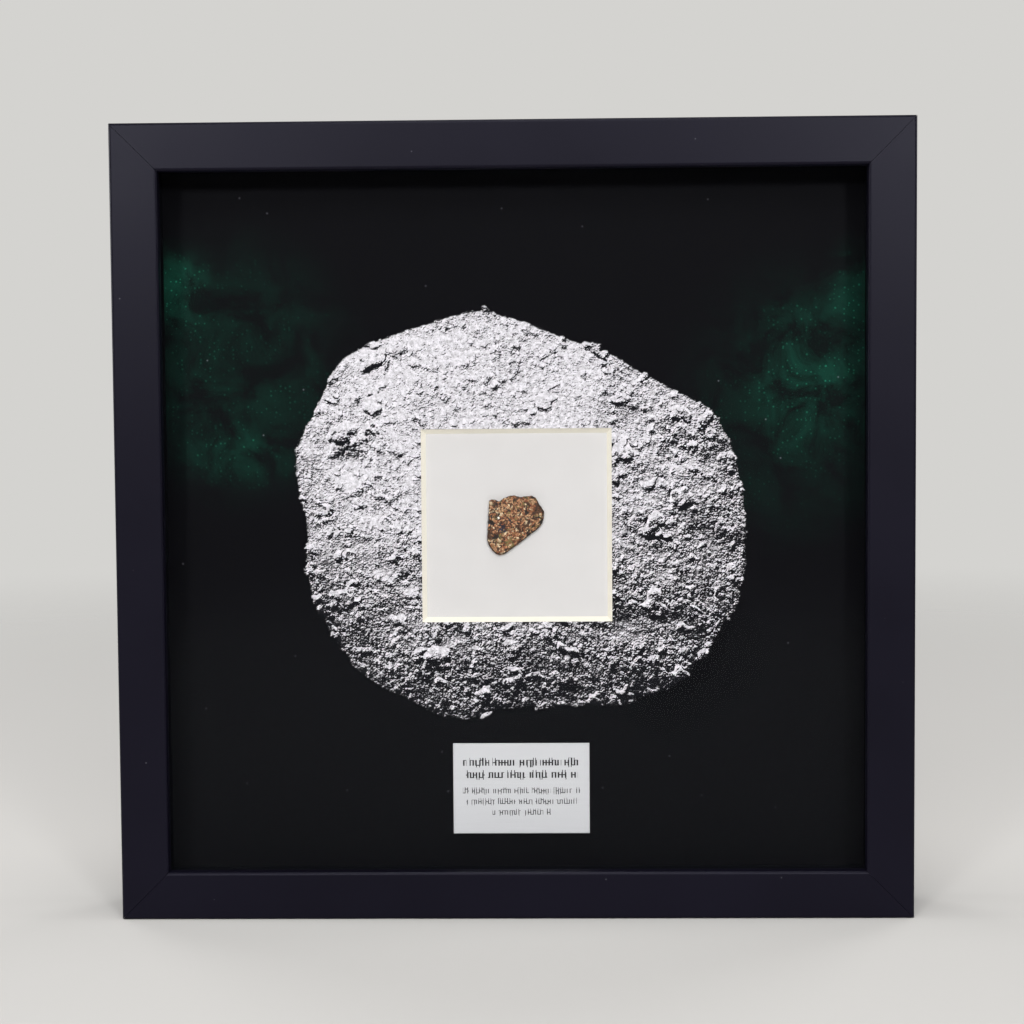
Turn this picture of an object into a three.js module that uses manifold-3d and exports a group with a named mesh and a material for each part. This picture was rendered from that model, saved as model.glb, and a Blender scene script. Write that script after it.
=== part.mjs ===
// A small square box frame with a thin cut slice of meteorite fixed in it.
// Millimetres, +Z up. The front faces -Y, and the origin lies under the middle of the base.
// Behind the glass, four black strips hold a printed mount back from it. The slice shows
// through the mount's bevelled window, on a white board, and a label sits below the window.

import * as THREE from 'three';
import { mergeVertices } from 'three/addons/utils/BufferGeometryUtils.js';
import Module from 'manifold-3d';

const wasm = await Module();
wasm.setup();

// Rails of the frame
const FRAME_SIDE = 250; // outer width and height
const FRAME_DEPTH = 32; // front to back
const MOULDING_FACE = 15; // width of a rail as seen from the front
const LIP_DEPTH = 4; // thickness of the lip in front of the glass
const RAIL_WALL = 10; // thickness of a rail behind its lip
const ARRIS_RADIUS = 1; // rounding of the two front edges
const REAR_CHAMFER = 0.5; // on the outer rear edge
const MITRE_GAP = 0.1; // hairline between two rails at a corner
const ARRIS_STEPS = 5;

// Sheets behind the lip, from front to back
const SHEET_PLAY = 0.5; // how much smaller a sheet is than the rebate
const GLASS_THICKNESS = 2;
const SPACER_DEPTH = 11;
const SPACER_THICKNESS = 3;
const PRINT_THICKNESS = 0.25;
const MAT_THICKNESS = 1.5;
const BACKING_THICKNESS = 3;
const PANEL_THICKNESS = 3;

// Window and label, measured from the middle of the frame
const WINDOW_WIDTH = 61.1; // at the print. The bevel makes it smaller towards the back
const WINDOW_HEIGHT = 62.1;
const WINDOW_CENTRE = { x: 0.55, z: -1.6 };
const LABEL_WIDTH = 44;
const LABEL_HEIGHT = 29.3;
const LABEL_THICKNESS = 1;
const LABEL_BEVEL = 0.2;
const LABEL_CENTRE = { x: 1.5, z: -86.55 };

// Slice of meteorite, measured from the middle of the frame
const SLICE_CENTRE = { x: 0.2, z: -1.55 };
const SLICE_THICKNESS = 1.8;
const SLICE_FACE_SHRINK = 0.95; // the cut face is this much smaller than the outline
const SLICE_FACE_SHIFT = { x: -0.25, z: 0.2 }; // so the wall shows at the lower right
const SLICE_CRYSTAL = 0.85; // size of the crystals in the face
const SLICE_RELIEF = 0.2; // how far the lowest crystal lies behind the highest
const SLICE_WALL_ROUGHNESS = 0.004; // share of the outline's size
const SLICE_STEPS = 3; // points along the outline for each corner in it
const SLICE_OUTLINE = [
  [-8.4, 8.2], [-6.75, 8.4], [-5.3, 7.8], [-3.8, 8.8], [-2.15, 9.5], [-0.5, 9.8],
  [1.15, 9.2], [3.15, 9.4], [5.85, 9.3], [6.95, 8.2], [8.4, 5.85], [9.25, 4.3],
  [9.1, 2.15], [8.8, 0.9], [7.45, -1.0], [5.1, -2.85], [1.85, -5.4], [-0.9, -7.45],
  [-3.3, -9.2], [-5.3, -9.8], [-6.85, -9.0], [-8.6, -6.85], [-9.25, -4.9], [-9.0, -1.0],
  [-8.8, 3.3], [-8.6, 7.25],
];
const SLICE_PITS = [ // place on the face, radius and depth of the larger pits
  { x: -7.5, z: 1.9, radius: 1.3, depth: 0.35 },
  { x: -4.3, z: -0.6, radius: 1.5, depth: 0.3 },
  { x: 3.2, z: 4.3, radius: 0.9, depth: 0.35 },
  { x: 7.1, z: 5.9, radius: 1.4, depth: 0.3 },
  { x: 3.1, z: 0.0, radius: 1.0, depth: 0.25 },
  { x: -7.2, z: -3.3, radius: 1.2, depth: 0.3 },
  { x: -2.25, z: -4.8, radius: 0.8, depth: 0.3 },
];

// Flat steel points that hold the back in. Two sit in slots in each rail
const TAB_PLACES = [-62, 62]; // along the rail, from its middle
const TAB_WIDTH = 9;
const TAB_OUT = 16; // length that shows
const TAB_IN = 4.5; // length in the slot
const TAB_THICKNESS = 0.6;
const SLOT_PLAY = 0.3;

// Hanger with a toothed edge, riveted to the back panel
const HANGER_LENGTH = 46;
const HANGER_HEIGHT = 10;
const HANGER_THICKNESS = 0.8;
const HANGER_FOOT = 9; // length of each flat end
const HANGER_RAMP = 3; // length of the slope between an end and the raised middle
const HANGER_RISE = 2.2; // room for a nail behind the raised middle
const HANGER_Z = 90; // height of its lower edge over the middle of the frame
const TOOTH_PITCH = 4;
const TOOTH_DEPTH = 1.8;
const RIVET_PLACE = 18.5; // from the middle of the hanger
const RIVET_RADIUS = 1.4;
const RIVET_HEAD_RADIUS = 2.7;
const RIVET_HEAD_HEIGHT = 1.1;
const RIVET_LENGTH = 3.3; // under the head, through the hanger and into the panel
const RIVET_PLAY = 0.3;
const ROUND_STEPS = 24;

// Worked out from the sizes above. Each Y is that of a sheet's front face
const HALF = FRAME_SIDE / 2;
const REBATE_HALF = HALF - RAIL_WALL;
const SHEET_SIDE = 2 * REBATE_HALF - SHEET_PLAY;
const SHEET_BOTTOM = -REBATE_HALF;
const SHEET_TOP = SHEET_BOTTOM + SHEET_SIDE;
const FRONT_Y = -FRAME_DEPTH / 2;
const GLASS_Y = FRONT_Y + LIP_DEPTH;
const SPACER_Y = GLASS_Y + GLASS_THICKNESS;
const PRINT_Y = SPACER_Y + SPACER_DEPTH;
const MAT_Y = PRINT_Y + PRINT_THICKNESS;
const BACKING_Y = MAT_Y + MAT_THICKNESS;
const PANEL_Y = BACKING_Y + BACKING_THICKNESS;
const PANEL_REAR_Y = PANEL_Y + PANEL_THICKNESS;

// Colours and finishes
const FINISHES = {
  charcoal: { color: 0x26262e, roughness: 0.45, metalness: 0 },
  glass: { color: 0xe8f0ee, roughness: 0.05, metalness: 0, transparent: true, opacity: 0.15 },
  blackBoard: { color: 0x0d0d11, roughness: 0.9, metalness: 0 },
  print: { color: 0x15161c, roughness: 0.6, metalness: 0 },
  creamBoard: { color: 0xe9dfc4, roughness: 0.9, metalness: 0 },
  whiteBoard: { color: 0xe2e0dd, roughness: 0.9, metalness: 0 },
  meteorite: { color: 0x7a5236, roughness: 0.6, metalness: 0 },
  label: { color: 0xd0d2d3, roughness: 0.4, metalness: 0 },
  hardboard: { color: 0x7b5a3c, roughness: 0.8, metalness: 0 },
  steel: { color: 0xa9abad, roughness: 0.4, metalness: 1 },
  brass: { color: 0xb79a55, roughness: 0.35, metalness: 1 },
};

function addPiece(group, name, geometry, finish) {
  const piece = new THREE.Mesh(geometry, new THREE.MeshStandardMaterial(FINISHES[finish]));
  piece.name = name;
  group.add(piece);
  return piece;
}

// A closed geometry as a solid that can be cut
function toSolid(geometry) {
  const bare = geometry.clone();
  bare.deleteAttribute('normal');
  bare.deleteAttribute('uv');
  const merged = mergeVertices(bare);
  return new wasm.Manifold(new wasm.Mesh({
    numProp: 3,
    vertProperties: Float32Array.from(merged.attributes.position.array),
    triVerts: Uint32Array.from(merged.index.array),
  }));
}

function toGeometry(solid) {
  const { vertProperties, triVerts } = solid.getMesh();
  const geometry = new THREE.BufferGeometry();
  geometry.setAttribute('position', new THREE.BufferAttribute(vertProperties, 3));
  geometry.setIndex(new THREE.BufferAttribute(triVerts, 1));
  geometry.computeVertexNormals();
  return geometry;
}

function cutAway(geometry, cutters) {
  const solid = cutters.reduce((left, cutter) => left.subtract(toSolid(cutter)), toSolid(geometry));
  return toGeometry(solid);
}

function boxBetween(low, high) {
  const box = new THREE.BoxGeometry(high[0] - low[0], high[1] - low[1], high[2] - low[2]);
  return box.translate((low[0] + high[0]) / 2, (low[1] + high[1]) / 2, (low[2] + high[2]) / 2);
}

// A shape drawn as seen from the front, as a sheet with its front face at y
function sheet(shape, y, thickness) {
  const geometry = new THREE.ExtrudeGeometry(shape, { depth: thickness, bevelEnabled: false });
  return geometry.rotateX(Math.PI / 2).translate(0, y + thickness, 0);
}

function rectangle(left, bottom, right, top) {
  return new THREE.Shape([
    new THREE.Vector2(left, bottom), new THREE.Vector2(right, bottom),
    new THREE.Vector2(right, top), new THREE.Vector2(left, top),
  ]);
}

function fullSheet() {
  return rectangle(-SHEET_SIDE / 2, SHEET_BOTTOM, SHEET_SIDE / 2, SHEET_TOP);
}

// A rail's section: x runs inwards from the outer side, y runs back from the front
function railSection() {
  const section = new THREE.Shape();
  const inner = MOULDING_FACE;
  section.moveTo(0, ARRIS_RADIUS);
  section.absarc(ARRIS_RADIUS, ARRIS_RADIUS, ARRIS_RADIUS, Math.PI, 1.5 * Math.PI, false);
  section.absarc(inner - ARRIS_RADIUS, ARRIS_RADIUS, ARRIS_RADIUS, -0.5 * Math.PI, 0, false);
  section.lineTo(inner, LIP_DEPTH);
  section.lineTo(RAIL_WALL, LIP_DEPTH);
  section.lineTo(RAIL_WALL, FRAME_DEPTH);
  section.lineTo(REAR_CHAMFER, FRAME_DEPTH);
  section.lineTo(0, FRAME_DEPTH - REAR_CHAMFER);
  return section;
}

// The top rail. Its section is carried from mitre to mitre, and slots are cut for two tabs
function rail() {
  const section = railSection();
  const settings = { depth: 1, bevelEnabled: false, curveSegments: ARRIS_STEPS };
  const geometry = new THREE.ExtrudeGeometry(section, settings);
  const place = geometry.attributes.position;
  for (let i = 0; i < place.count; i += 1) {
    const out = HALF - place.getX(i);
    const along = out - MITRE_GAP / Math.SQRT2;
    place.setXYZ(i, place.getZ(i) > 0.5 ? along : -along, FRONT_Y + place.getY(i), out);
  }
  const slots = TAB_PLACES.map((x) => boxBetween(
    [x - TAB_WIDTH / 2 - SLOT_PLAY, PANEL_REAR_Y - SLOT_PLAY, REBATE_HALF - 1],
    [
      x + TAB_WIDTH / 2 + SLOT_PLAY,
      PANEL_REAR_Y + TAB_THICKNESS + SLOT_PLAY,
      REBATE_HALF + TAB_IN + SLOT_PLAY,
    ],
  ));
  return cutAway(geometry, slots);
}

// A tab of the top rail: a flat point with a round end, lying on the back panel
function tab(x) {
  const half = TAB_WIDTH / 2;
  const shape = new THREE.Shape();
  shape.moveTo(x - half, REBATE_HALF + TAB_IN);
  shape.lineTo(x - half, REBATE_HALF - TAB_OUT + half);
  shape.absarc(x, REBATE_HALF - TAB_OUT + half, half, Math.PI, 2 * Math.PI, false);
  shape.lineTo(x + half, REBATE_HALF + TAB_IN);
  return sheet(shape, PANEL_REAR_Y, TAB_THICKNESS);
}

function addRails(group) {
  ['top', 'right', 'bottom', 'left'].forEach((side, turn) => {
    const corner = new THREE.Group();
    corner.rotation.y = turn * Math.PI / 2;
    addPiece(corner, `rail_${side}`, rail(), 'charcoal');
    TAB_PLACES.forEach((x, i) => {
      addPiece(corner, `turn_tab_${2 * turn + i + 1}`, tab(x), 'steel');
    });
    group.add(corner);
  });
}

// Two strips lie along the top and the bottom, and two stand between them
function addSpacers(group) {
  const half = SHEET_SIDE / 2;
  const inner = half - SPACER_THICKNESS;
  const low = SHEET_BOTTOM + SPACER_THICKNESS;
  const high = SHEET_TOP - SPACER_THICKNESS;
  const strips = {
    top: [-half, high, half, SHEET_TOP],
    bottom: [-half, SHEET_BOTTOM, half, low],
    left: [-half, low, -inner, high],
    right: [inner, low, half, high],
  };
  for (const [side, edges] of Object.entries(strips)) {
    const geometry = sheet(rectangle(...edges), SPACER_Y, SPACER_DEPTH);
    addPiece(group, `spacer_${side}`, geometry, 'blackBoard');
  }
}

// The printed sheet has a window with straight edges
function print() {
  const across = WINDOW_WIDTH / 2;
  const up = WINDOW_HEIGHT / 2;
  const { x, z } = WINDOW_CENTRE;
  const shape = fullSheet();
  shape.holes.push(rectangle(x - across, z - up, x + across, z + up));
  return sheet(shape, PRINT_Y, PRINT_THICKNESS);
}

// The board under the print. Its window is cut at 45 degrees, and narrows towards the back
function mat() {
  const overrun = 0.5; // how far the cutter runs past both faces of the board
  const depth = MAT_THICKNESS + 2 * overrun;
  const cutter = new THREE.BoxGeometry(
    WINDOW_WIDTH + 2 * overrun, depth, WINDOW_HEIGHT + 2 * overrun,
  );
  const place = cutter.attributes.position;
  for (let i = 0; i < place.count; i += 1) {
    const inwards = place.getY(i) > 0 ? depth : 0;
    place.setX(i, place.getX(i) - Math.sign(place.getX(i)) * inwards);
    place.setZ(i, place.getZ(i) - Math.sign(place.getZ(i)) * inwards);
  }
  cutter.translate(WINDOW_CENTRE.x, MAT_Y + MAT_THICKNESS / 2, WINDOW_CENTRE.z);
  return cutAway(sheet(fullSheet(), MAT_Y, MAT_THICKNESS), [cutter]);
}

// A small plate with a bevel round its front face. It lies on the print
function label() {
  const inset = LABEL_BEVEL;
  const shape = rectangle(
    -LABEL_WIDTH / 2 + inset, -LABEL_HEIGHT / 2 + inset,
    LABEL_WIDTH / 2 - inset, LABEL_HEIGHT / 2 - inset,
  );
  const geometry = new THREE.ExtrudeGeometry(shape, {
    depth: LABEL_THICKNESS - inset,
    bevelEnabled: true,
    bevelThickness: inset,
    bevelSize: inset,
    bevelSegments: 1,
  });
  geometry.rotateX(Math.PI / 2).translate(LABEL_CENTRE.x, PRINT_Y, LABEL_CENTRE.z);
  const behind = boxBetween(
    [LABEL_CENTRE.x - LABEL_WIDTH, PRINT_Y, LABEL_CENTRE.z - LABEL_HEIGHT],
    [LABEL_CENTRE.x + LABEL_WIDTH, PRINT_Y + LABEL_THICKNESS, LABEL_CENTRE.z + LABEL_HEIGHT],
  );
  return cutAway(geometry, [behind]);
}

// The same number between -1 and 1 each time for the same two whole numbers
function scatter(i, j) {
  const wave = Math.sin(i * 127.1 + j * 311.7) * 43758.5453;
  return 2 * (wave - Math.floor(wave)) - 1;
}

// The rough piece that the cut face is worked into: the outline carried from the flat back
// over the wall to a smaller outline in front of the face, with both ends closed
function sliceBlank() {
  const corners = SLICE_OUTLINE.map(([x, z]) => new THREE.Vector3(x, 0, z));
  const outline = new THREE.CatmullRomCurve3(corners, true, 'centripetal');
  const count = SLICE_STEPS * corners.length;
  const levels = [ // height over the back, scale, and share of the shift
    { height: 0, scale: 0.985, shift: 0 },
    { height: 0.45, scale: 1, shift: 0 },
    { height: 1, scale: SLICE_FACE_SHRINK, shift: 1 },
    { height: 1.3, scale: SLICE_FACE_SHRINK * 0.97, shift: 1 },
  ];
  const points = levels.flatMap(({ height, scale, shift }, level) => (
    Array.from({ length: count }, (_, i) => {
      const at = outline.getPoint(i / count);
      const swell = scale * (1 + SLICE_WALL_ROUGHNESS * scatter(i, level));
      return [
        at.x * swell + shift * SLICE_FACE_SHIFT.x,
        -height * SLICE_THICKNESS,
        at.z * swell + shift * SLICE_FACE_SHIFT.z,
      ];
    })
  ));
  const faces = [];
  for (let a = 0; a < count * (levels.length - 1); a += 1) {
    const b = a % count === count - 1 ? a + 1 - count : a + 1;
    faces.push(a, a + count, b, b, a + count, b + count);
  }
  const front = count * (levels.length - 1);
  const flat = (start) => points.slice(start, start + count)
    .map(([x, , z]) => new THREE.Vector2(x, z));
  THREE.ShapeUtils.triangulateShape(flat(0), []).forEach(([a, b, c]) => faces.push(a, c, b));
  THREE.ShapeUtils.triangulateShape(flat(front), [])
    .forEach(([a, b, c]) => faces.push(front + a, front + b, front + c));
  const geometry = new THREE.BufferGeometry();
  geometry.setAttribute('position', new THREE.Float32BufferAttribute(points.flat(), 3));
  geometry.setIndex(faces);
  return geometry;
}

// A block with a front face of small flat crystals and pits. Each corner of a crystal is moved
// a little off an even grid and off the plane of the cut
function crystalBlock() {
  const side = 2 * Math.max(...SLICE_OUTLINE.flat().map(Math.abs)) + 1;
  const cells = Math.round(side / SLICE_CRYSTAL);
  const depth = 2 * SLICE_THICKNESS;
  const block = new THREE.BoxGeometry(side, depth, side, cells, 1, cells);
  const place = block.attributes.position;
  for (let k = 0; k < place.count; k += 1) {
    if (place.getY(k) > 0) continue;
    const i = Math.round((place.getX(k) / side + 0.5) * cells);
    const j = Math.round((place.getZ(k) / side + 0.5) * cells);
    const x = place.getX(k) + SLICE_CRYSTAL * 0.3 * scatter(i, j);
    const z = place.getZ(k) + SLICE_CRYSTAL * 0.3 * scatter(i + 40, j);
    const pits = SLICE_PITS.reduce((sum, pit) => {
      const away = Math.hypot(x - pit.x, z - pit.z) / pit.radius;
      return sum + pit.depth * Math.max(0, 1 - away * away);
    }, 0);
    const forward = SLICE_THICKNESS + SLICE_RELIEF * (scatter(i, j + 40) - 1) / 2 - pits;
    place.setXYZ(k, x, -forward, z);
  }
  return block;
}

// The blank and the block share the space that is stone
function slice() {
  return toGeometry(toSolid(sliceBlank()).intersect(toSolid(crystalBlock())));
}

// The panel has a hole for each rivet of the hanger
function backPanel() {
  const shape = fullSheet();
  for (const x of [-RIVET_PLACE, RIVET_PLACE]) {
    const hole = new THREE.Path();
    hole.absarc(x, HANGER_Z + HANGER_HEIGHT / 2, RIVET_RADIUS + RIVET_PLAY, 0, 2 * Math.PI, false);
    shape.holes.push(hole);
  }
  return sheet(shape, PANEL_Y, PANEL_THICKNESS);
}

// A strip bent so that its middle stands off the panel, with teeth along its lower edge
function hanger() {
  const end = HANGER_LENGTH / 2;
  const foot = end - HANGER_FOOT;
  const raised = foot - HANGER_RAMP;
  const side = (offset) => [
    [-end, offset], [-foot, offset], [-raised, HANGER_RISE + offset],
    [raised, HANGER_RISE + offset], [foot, offset], [end, offset],
  ].map(([x, y]) => new THREE.Vector2(x, y));
  const shape = new THREE.Shape([...side(0), ...side(HANGER_THICKNESS).reverse()]);
  const settings = { depth: HANGER_HEIGHT, bevelEnabled: false };
  const strip = new THREE.ExtrudeGeometry(shape, settings);
  const cutters = [-RIVET_PLACE, RIVET_PLACE].map((x) => new THREE
    .CylinderGeometry(RIVET_RADIUS + RIVET_PLAY, RIVET_RADIUS + RIVET_PLAY, 4, ROUND_STEPS)
    .translate(x, 0, HANGER_HEIGHT / 2));
  const teeth = Math.floor(2 * raised / TOOTH_PITCH);
  for (let i = 0; i < teeth; i += 1) {
    const middle = (i - (teeth - 1) / 2) * TOOTH_PITCH;
    const notch = new THREE.CylinderGeometry(TOOTH_DEPTH, TOOTH_DEPTH, 4, 4);
    cutters.push(notch.translate(middle, HANGER_RISE, 0));
  }
  return cutAway(strip, cutters).translate(0, PANEL_REAR_Y, HANGER_Z);
}

// A domed head with a shank that goes forwards into the panel
function rivet(x) {
  const profile = [[0, -RIVET_LENGTH], [RIVET_RADIUS, -RIVET_LENGTH], [RIVET_RADIUS, 0]];
  const domeSteps = 5;
  for (let i = 0; i < domeSteps; i += 1) {
    const turn = i / domeSteps * Math.PI / 2;
    profile.push([RIVET_HEAD_RADIUS * Math.cos(turn), RIVET_HEAD_HEIGHT * Math.sin(turn)]);
  }
  profile.push([0, RIVET_HEAD_HEIGHT]);
  const points = profile.map(([radius, height]) => new THREE.Vector2(radius, height));
  const geometry = new THREE.LatheGeometry(points, ROUND_STEPS);
  const y = PANEL_REAR_Y + HANGER_THICKNESS;
  return geometry.translate(x, y, HANGER_Z + HANGER_HEIGHT / 2);
}

const middle = new THREE.Group(); // everything is drawn from the middle of the frame
middle.position.z = HALF;
addRails(middle);
addPiece(middle, 'glass_pane', sheet(fullSheet(), GLASS_Y, GLASS_THICKNESS), 'glass');
addSpacers(middle);
addPiece(middle, 'picture_print', print(), 'print');
addPiece(middle, 'window_mat', mat(), 'creamBoard');
addPiece(middle, 'backing_board', sheet(fullSheet(), BACKING_Y, BACKING_THICKNESS), 'whiteBoard');
addPiece(middle, 'label_plate', label(), 'label');
const meteorite = addPiece(middle, 'meteorite_slice', slice(), 'meteorite');
meteorite.position.set(SLICE_CENTRE.x, BACKING_Y, SLICE_CENTRE.z);
addPiece(middle, 'back_panel', backPanel(), 'hardboard');
addPiece(middle, 'hanger_plate', hanger(), 'brass');
addPiece(middle, 'hanger_rivet_left', rivet(-RIVET_PLACE), 'steel');
addPiece(middle, 'hanger_rivet_right', rivet(RIVET_PLACE), 'steel');

const group = new THREE.Group();
group.add(middle);

export default group;
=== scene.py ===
"""A small box frame with a cut slice of meteorite fixed in it.

It is laid out as a Blender add-on: the sizes and colours are properties, and each group of
pieces has an operator of its own. Lengths are in metres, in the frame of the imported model:
+Z up, and the glass faces -Y.
"""

import math

import bpy
import numpy as np
from bpy.props import FloatProperty, FloatVectorProperty, IntProperty, PointerProperty
from mathutils import Matrix, Vector


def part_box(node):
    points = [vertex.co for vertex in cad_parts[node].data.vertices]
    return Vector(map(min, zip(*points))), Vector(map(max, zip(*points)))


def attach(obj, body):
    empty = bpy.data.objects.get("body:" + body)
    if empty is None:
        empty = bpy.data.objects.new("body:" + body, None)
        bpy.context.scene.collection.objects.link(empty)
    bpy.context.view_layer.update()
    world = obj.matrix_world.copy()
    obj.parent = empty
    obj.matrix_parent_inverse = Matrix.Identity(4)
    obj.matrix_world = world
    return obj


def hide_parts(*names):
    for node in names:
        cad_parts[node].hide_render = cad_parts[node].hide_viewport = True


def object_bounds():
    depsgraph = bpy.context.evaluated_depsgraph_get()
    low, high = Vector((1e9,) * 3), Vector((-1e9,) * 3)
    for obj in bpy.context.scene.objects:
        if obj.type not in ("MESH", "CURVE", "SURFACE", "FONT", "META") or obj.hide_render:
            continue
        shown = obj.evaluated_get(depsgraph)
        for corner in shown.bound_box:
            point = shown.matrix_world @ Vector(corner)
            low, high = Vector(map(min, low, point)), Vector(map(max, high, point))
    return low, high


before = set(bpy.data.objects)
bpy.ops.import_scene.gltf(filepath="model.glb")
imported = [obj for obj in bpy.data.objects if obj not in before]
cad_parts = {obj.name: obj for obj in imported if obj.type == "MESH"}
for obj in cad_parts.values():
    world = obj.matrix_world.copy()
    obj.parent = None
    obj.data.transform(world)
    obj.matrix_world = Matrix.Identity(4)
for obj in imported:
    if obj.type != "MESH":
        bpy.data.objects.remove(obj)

bl_info = {
    "name": "Framed Meteorite Specimen",
    "version": (1, 0, 0),
    "blender": (4, 5, 0),
    "location": "View3D > Sidebar > Specimen",
    "description": "A box frame with a thin cut slice of meteorite and its printed mount",
    "category": "Object",
}

MM = 0.001
CAD_BOX = [list(corner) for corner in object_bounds()]
LOW, HIGH = (Vector(corner) for corner in CAD_BOX)
MIDDLE = (LOW + HIGH) / 2
PRINT_LOW, PRINT_HIGH = (Vector(corner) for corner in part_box("picture_print"))
# The pictured body lies a little to the right of the sheet's middle, and a little over it
BODY_MIDDLE = (PRINT_LOW + PRINT_HIGH) / 2 + Vector((0.3, 0, 0.7)) * MM
SLICE_LOW, SLICE_HIGH = (Vector(corner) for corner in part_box("meteorite_slice"))
SLICE_MIDDLE = (SLICE_LOW + SLICE_HIGH) / 2
SLICE_THICKNESS = SLICE_HIGH.y - SLICE_LOW.y
LABEL_LOW, LABEL_HIGH = (Vector(corner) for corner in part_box("label_plate"))
LABEL_MIDDLE = (LABEL_LOW + LABEL_HIGH) / 2


def linear(code):
    """The linear red, green and blue of an sRGB colour written as #rrggbb."""
    parts = [int(code[k:k + 2], 16) / 255 for k in (1, 3, 5)]
    return tuple(c / 12.92 if c <= 0.04045 else ((c + 0.055) / 1.055) ** 2.4 for c in parts)


def colour_property(name, description, code):
    """A colour that a user can change, from its sRGB code."""
    return FloatVectorProperty(
        name=name, description=description, default=linear(code), subtype="COLOR", size=3,
        min=0, max=1,
    )


def length_property(name, description, default):
    """A length in metres that a user can change."""
    return FloatProperty(
        name=name, description=description, default=default, min=0, unit="LENGTH",
        subtype="DISTANCE",
    )


class SliceSettings(bpy.types.PropertyGroup):
    """The cut slice of stone."""

    crystal: length_property("Crystal size", "Usual distance between crystals", 0.5 * MM)
    relief: length_property("Relief", "How far crystals stand up from the cut face", 0.05 * MM)
    groove: length_property("Groove", "Depth of the joints between crystals", 0.04 * MM)
    seed: IntProperty(name="Seed", description="Draws another set of crystals", default=7)
    cream: colour_property("Cream feldspar", "The palest crystals", "#dcc49f")
    tan: colour_property("Tan feldspar", "Pale crystals", "#c0966f")
    peach: colour_property("Peach feldspar", "Stained feldspar", "#b27c57")
    rust: colour_property("Rust", "Iron-stained crystals", "#875030")
    brown: colour_property("Brown pyroxene", "The common dark crystals", "#513420")
    dark: colour_property("Dark pyroxene", "The darkest crystals", "#261b15")
    olive: colour_property("Olive", "Yellow-green crystals", "#7f6e40")
    blue: colour_property("Blue-black", "The blue-black patches", "#2b2735")
    white: colour_property("White", "The one white crystal", "#f4efe2")
    # A dark brown put on the broken side wall as painted shade.
    wall_shade: colour_property("Wall shade", "The broken side wall", "#241811")


class PrintSettings(bpy.types.PropertyGroup):
    """The picture printed on the sheet: a generic small rocky body in the dark."""

    width: length_property("Body width", "Length of the body's long axis", 150.6 * MM)
    height: length_property("Body height", "Length of the body's short axis", 133 * MM)
    tilt: FloatProperty(
        name="Tilt", description="Turn of the long axis", default=math.radians(-24),
        subtype="ANGLE",
    )
    boulder: length_property("Boulders", "Usual distance between the largest rocks", 9 * MM)
    crater: length_property("Pits", "Usual distance between the pits", 26 * MM)
    ground: colour_property("Ground", "The dark that the body lies in", "#050509")
    shade: colour_property("Shade", "The body's shadows", "#0f0f14")
    lit: colour_property("Lit rock", "The body in full light", "#ebe8ee")
    # The colour of a painted green reflection at the sides of the print.
    painted_reflection: colour_property("Painted reflection", "The faint green at the sides", "#0d3a2e")


class FrameSettings(bpy.types.PropertyGroup):
    """The finishes of the frame, the glass and the boards."""

    paint: colour_property("Paint", "The satin charcoal of the rails", "#0c0a15")
    lining: colour_property("Lining", "The black strips behind the glass", "#0b0c11")
    core: colour_property("Core", "The cream core that the bevel shows", "#ede8da")
    board: colour_property("Board", "The white board behind the slice", "#d1cfce")
    plate: colour_property("Label", "The grey of the label", "#c9cacd")
    ink: colour_property("Ink", "The marks printed on the label", "#131317")
    hardboard: colour_property("Hardboard", "The panel that closes the back", "#7d5a3b")


class StageSettings(bpy.types.PropertyGroup):
    """The camera, the lights and the floor."""

    distance: length_property("Distance", "From the camera to the frame's front", 0.6)
    yaw: FloatProperty(
        name="Yaw", description="How far right the camera stands", default=math.radians(1.24),
        subtype="ANGLE",
    )
    pitch: FloatProperty(
        name="Pitch", description="How far up the camera stands", default=math.radians(3.15),
        subtype="ANGLE",
    )
    roll: FloatProperty(
        name="Roll", description="Turn of the camera about its axis",
        default=math.radians(-0.42), subtype="ANGLE",
    )
    lens: FloatProperty(name="Lens", description="Focal length in mm", default=67.63, min=1)
    floor: colour_property("Floor", "The pale floor", "#c2c0bd")
    backdrop: colour_property("Backdrop", "The even light grey behind", "#d4d3d0")


def add(tree, kind, inputs=None, out=0, **settings):
    """Add a node to the tree and give its output socket numbered out, if it has any.

    settings are the node's own properties. inputs maps a socket's name or number to a value,
    or to another node's socket, which is linked to it.
    """
    node = tree.nodes.new(kind)
    for name, value in settings.items():
        setattr(node, name, value)
    for key, value in (inputs or {}).items():
        if isinstance(value, bpy.types.NodeSocket):
            tree.links.new(value, node.inputs[key])
        else:
            node.inputs[key].default_value = value
    return node.outputs[out] if node.outputs else None


def opaque(colour):
    """A property's colour with full alpha, for a colour socket."""
    return (*colour, 1.0)


def new_material(name, **sockets):
    """A material with a Principled shader. sockets sets its inputs, with _ for a space.

    Gives the material, its tree, the shader node and the output of Object coordinates.
    """
    material = bpy.data.materials.new(name)
    material.use_nodes = True
    tree = material.node_tree
    shader = tree.nodes["Principled BSDF"]
    for key, value in sockets.items():
        shader.inputs[key.replace("_", " ")].default_value = value
    where = add(tree, "ShaderNodeTexCoord", out=3)
    return material, tree, shader, where


def link_up(tree, shader, **sockets):
    """Link a value to each of these inputs of the shader, with _ for a space."""
    for key, value in sockets.items():
        tree.links.new(value, shader.inputs[key.replace("_", " ")])


def shaded(tree, colour, pattern, darkest, palest):
    """The colour times a share that follows a pattern of values from about 0.3 to 0.7."""
    share = add(tree, "ShaderNodeMapRange", {0: pattern, 1: 0.3, 2: 0.7, 3: darkest, 4: palest})
    return add(tree, "ShaderNodeVectorMath", {0: colour, 3: share}, operation="SCALE")


def coat(material, *names):
    """Give the material to these CAD nodes."""
    for name in names:
        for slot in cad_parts[name].material_slots:
            slot.material = material


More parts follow.
